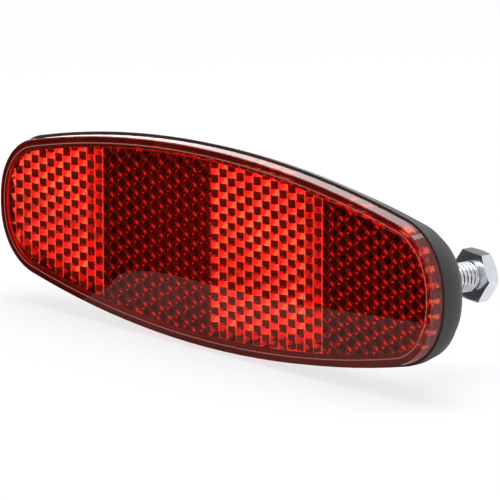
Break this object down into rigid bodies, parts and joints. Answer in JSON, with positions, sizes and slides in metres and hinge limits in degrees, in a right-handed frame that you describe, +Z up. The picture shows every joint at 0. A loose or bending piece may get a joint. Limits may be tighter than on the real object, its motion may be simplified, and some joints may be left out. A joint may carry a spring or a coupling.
{
  "type": "bicycle rack reflector",
  "caption": "Oval red rear reflector: a clear red lens with cube-corner prisms on a black moulded housing, fixed to a bicycle rack by studs with nuts.",
  "frame": {"origin": "midway between the two studs, on the plane of the mounting pads on the housing's back", "axes": "+X to the right seen from the front, along the row of studs; +Y backwards along the studs, so the lens faces -Y; +Z up"},
  "size_m": [0.1116, 0.0261, 0.0345],
  "materials": {
    "red_lens": "clear red moulded plastic, polished",
    "black_housing": "fine matte texture",
    "zinc_steel": "bright zinc plate"
  },
  "bodies": {
    "root": {"lens": "red_lens", "housing": "black_housing", "stud_left": "zinc_steel", "stud_right": "zinc_steel", "nut_left": "zinc_steel", "nut_right": "zinc_steel"}
  },
  "joints": []
}
